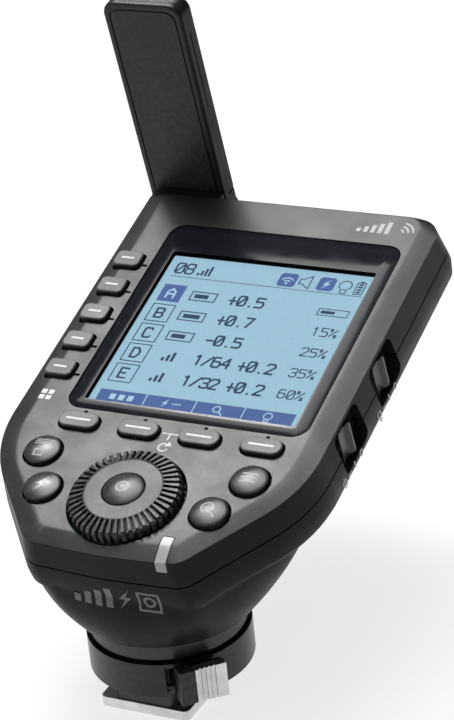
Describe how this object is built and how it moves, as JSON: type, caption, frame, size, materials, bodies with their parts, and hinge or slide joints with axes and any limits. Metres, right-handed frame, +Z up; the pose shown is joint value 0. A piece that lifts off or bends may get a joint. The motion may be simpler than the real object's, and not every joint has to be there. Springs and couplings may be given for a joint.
{
  "type": "wireless flash trigger",
  "caption": "Tilted control panel with display, keys and dial on a hot-shoe foot with a lock lever, and a fold-up antenna behind its far edge.",
  "frame": {"origin": "centre of the shoe foot's bottom face", "axes": "+X to the user's right, +Y away from the user, +Z up out of the hot shoe"},
  "size_m": [0.0676, 0.1002, 0.1149],
  "materials": {
    "shell_black": "fine matte",
    "window_black": "glossy",
    "lcd_blue": "backlit",
    "frame_grey": "moulded",
    "board_green": "solder mask",
    "chip_black": "moulded",
    "can_tin": "tinned",
    "key_grey": "satin",
    "button_black": "satin",
    "dial_black": "ribbed",
    "light_strip": "frosted",
    "switch_black": "satin",
    "inner_plastic": "moulded",
    "cell_wrap": "printed wrap",
    "spring_steel": "bright",
    "socket_steel": "plated",
    "lens_red": "translucent",
    "antenna_black": "satin",
    "copper": "copper film",
    "ring_black": "satin paint",
    "collar_black": "satin",
    "tab_silver": "anodised",
    "foot_steel": "satin",
    "contact_brass": "gold plated",
    "screw_steel": "blackened"
  },
  "bodies": {
    "housing": {"top_shell": "shell_black", "bottom_shell": "shell_black", "display_window": "window_black", "lcd_panel": "lcd_blue", "lcd_frame": "frame_grey", "main_board": "board_green", "radio_board": "board_green", "board_chips": "chip_black", "buzzer": "chip_black", "dial_encoder": "chip_black", "switch_bodies": "chip_black", "radio_can": "can_tin", "tact_switches": "can_tin", "status_light": "light_strip", "battery_tray": "inner_plastic", "contact_block": "inner_plastic", "aa_cells": "cell_wrap", "battery_springs": "spring_steel", "battery_plates": "spring_steel", "antenna_pin": "spring_steel", "usb_socket": "socket_steel", "sync_jack": "socket_steel", "focus_lamp": "lens_red", "neck_ring": "ring_black", "shoe_stem": "ring_black", "stem_nut": "ring_black", "lock_sleeve": "collar_black", "foot_plate": "foot_steel", "foot_screws": "screw_steel", "case_screws": "screw_steel"},
    "group_button_1": {"group_button_1": "key_grey"},
    "group_button_2": {"group_button_2": "key_grey"},
    "group_button_3": {"group_button_3": "key_grey"},
    "group_button_4": {"group_button_4": "key_grey"},
    "group_button_5": {"group_button_5": "key_grey"},
    "soft_key_1": {"soft_key_1": "key_grey"},
    "soft_key_2": {"soft_key_2": "key_grey"},
    "soft_key_3": {"soft_key_3": "key_grey"},
    "soft_key_4": {"soft_key_4": "key_grey"},
    "mode_button": {"mode_button": "button_black"},
    "test_button": {"test_button": "button_black"},
    "menu_button": {"menu_button": "button_black"},
    "zoom_button": {"zoom_button": "button_black"},
    "set_button": {"set_button": "button_black"},
    "control_dial": {"control_dial": "dial_black"},
    "power_switch": {"power_switch": "switch_black"},
    "lamp_switch": {"lamp_switch": "switch_black"},
    "battery_door": {"battery_door": "shell_black"},
    "antenna": {"antenna_front": "antenna_black", "antenna_back": "antenna_black", "antenna_element": "copper"},
    "lock_lever": {"lock_lever": "collar_black", "lever_tab": "tab_silver"},
    "lock_pin": {"lock_pin": "foot_steel"},
    "contact_center": {"contact_center": "contact_brass"},
    "contact_left_near": {"contact_left_near": "contact_brass"},
    "contact_right_near": {"contact_right_near": "contact_brass"},
    "contact_left_far": {"contact_left_far": "contact_brass"},
    "contact_right_far": {"contact_right_far": "contact_brass"}
  },
  "joints": [
    {"name": "group_button_1_press", "type": "slide", "parent": "housing", "child": "group_button_1", "axis": [0, 0.304, -0.9527], "range_m": [0, 0.0005], "stiffness_N_per_m": 300, "springref_m": -0.001},
    {"name": "group_button_2_press", "type": "slide", "parent": "housing", "child": "group_button_2", "axis": [0, 0.304, -0.9527], "range_m": [0, 0.0005], "stiffness_N_per_m": 300, "springref_m": -0.001},
    {"name": "group_button_3_press", "type": "slide", "parent": "housing", "child": "group_button_3", "axis": [0, 0.304, -0.9527], "range_m": [0, 0.0005], "stiffness_N_per_m": 300, "springref_m": -0.001},
    {"name": "group_button_4_press", "type": "slide", "parent": "housing", "child": "group_button_4", "axis": [0, 0.304, -0.9527], "range_m": [0, 0.0005], "stiffness_N_per_m": 300, "springref_m": -0.001},
    {"name": "group_button_5_press", "type": "slide", "parent": "housing", "child": "group_button_5", "axis": [0, 0.304, -0.9527], "range_m": [0, 0.0005], "stiffness_N_per_m": 300, "springref_m": -0.001},
    {"name": "soft_key_1_press", "type": "slide", "parent": "housing", "child": "soft_key_1", "axis": [0, 0.304, -0.9527], "range_m": [0, 0.0005], "stiffness_N_per_m": 300, "springref_m": -0.001},
    {"name": "soft_key_2_press", "type": "slide", "parent": "housing", "child": "soft_key_2", "axis": [0, 0.304, -0.9527], "range_m": [0, 0.0005], "stiffness_N_per_m": 300, "springref_m": -0.001},
    {"name": "soft_key_3_press", "type": "slide", "parent": "housing", "child": "soft_key_3", "axis": [0, 0.304, -0.9527], "range_m": [0, 0.0005], "stiffness_N_per_m": 300, "springref_m": -0.001},
    {"name": "soft_key_4_press", "type": "slide", "parent": "housing", "child": "soft_key_4", "axis": [0, 0.304, -0.9527], "range_m": [0, 0.0005], "stiffness_N_per_m": 300, "springref_m": -0.001},
    {"name": "mode_button_press", "type": "slide", "parent": "housing", "child": "mode_button", "axis": [0, 0.304, -0.9527], "range_m": [0, 0.0005], "stiffness_N_per_m": 300, "springref_m": -0.001},
    {"name": "test_button_press", "type": "slide", "parent": "housing", "child": "test_button", "axis": [0, 0.304, -0.9527], "range_m": [0, 0.0005], "stiffness_N_per_m": 300, "springref_m": -0.001},
    {"name": "menu_button_press", "type": "slide", "parent": "housing", "child": "menu_button", "axis": [0, 0.304, -0.9527], "range_m": [0, 0.0005], "stiffness_N_per_m": 300, "springref_m": -0.001},
    {"name": "zoom_button_press", "type": "slide", "parent": "housing", "child": "zoom_button", "axis": [0, 0.304, -0.9527], "range_m": [0, 0.0005], "stiffness_N_per_m": 300, "springref_m": -0.001},
    {"name": "set_button_press", "type": "slide", "parent": "housing", "child": "set_button", "axis": [0, 0.304, -0.9527], "range_m": [0, 0.0005], "stiffness_N_per_m": 300, "springref_m": -0.001},
    {"name": "dial_turn", "type": "hinge", "parent": "housing", "child": "control_dial", "pos_m": [0, -0.0068, 0.0445], "axis": [0, -0.304, 0.9527], "continuous": true},
    {"name": "power_switch_slide", "type": "slide", "parent": "housing", "child": "power_switch", "axis": [0, 0.9527, 0.304], "range_m": [0, 0.0036]},
    {"name": "lamp_switch_slide", "type": "slide", "parent": "housing", "child": "lamp_switch", "axis": [0, 0.9527, 0.304], "range_m": [0, 0.0036]},
    {"name": "battery_door_slide", "type": "slide", "parent": "housing", "child": "battery_door", "axis": [0, 0.9527, 0.304], "range_m": [0, 0.05]},
    {"name": "antenna_fold", "type": "hinge", "parent": "housing", "child": "antenna", "pos_m": [0, 0.07787, 0.06501], "axis": [-1, 0, 0], "range_deg": [0, 90]},
    {"name": "lock_turn", "type": "hinge", "parent": "housing", "child": "lock_lever", "pos_m": [0, 0.0031, 0.009], "axis": [0, 0, 1], "range_deg": [0, 18]},
    {"name": "lock_pin_drop", "type": "slide", "parent": "housing", "child": "lock_pin", "axis": [0, 0, 1], "range_m": [-0.0014, 0]},
    {"name": "contact_center_press", "type": "slide", "parent": "housing", "child": "contact_center", "axis": [0, 0, 1], "range_m": [0, 0.0006], "stiffness_N_per_m": 400, "springref_m": -0.0005},
    {"name": "contact_left_near_press", "type": "slide", "parent": "housing", "child": "contact_left_near", "axis": [0, 0, 1], "range_m": [0, 0.0006], "stiffness_N_per_m": 400, "springref_m": -0.0005},
    {"name": "contact_right_near_press", "type": "slide", "parent": "housing", "child": "contact_right_near", "axis": [0, 0, 1], "range_m": [0, 0.0006], "stiffness_N_per_m": 400, "springref_m": -0.0005},
    {"name": "contact_left_far_press", "type": "slide", "parent": "housing", "child": "contact_left_far", "axis": [0, 0, 1], "range_m": [0, 0.0006], "stiffness_N_per_m": 400, "springref_m": -0.0005},
    {"name": "contact_right_far_press", "type": "slide", "parent": "housing", "child": "contact_right_far", "axis": [0, 0, 1], "range_m": [0, 0.0006], "stiffness_N_per_m": 400, "springref_m": -0.0005}
  ],
  "couplings": [
    {"joint": "lock_pin_drop", "follows": "lock_turn", "m_per_rad": -0.004456}
  ]
}
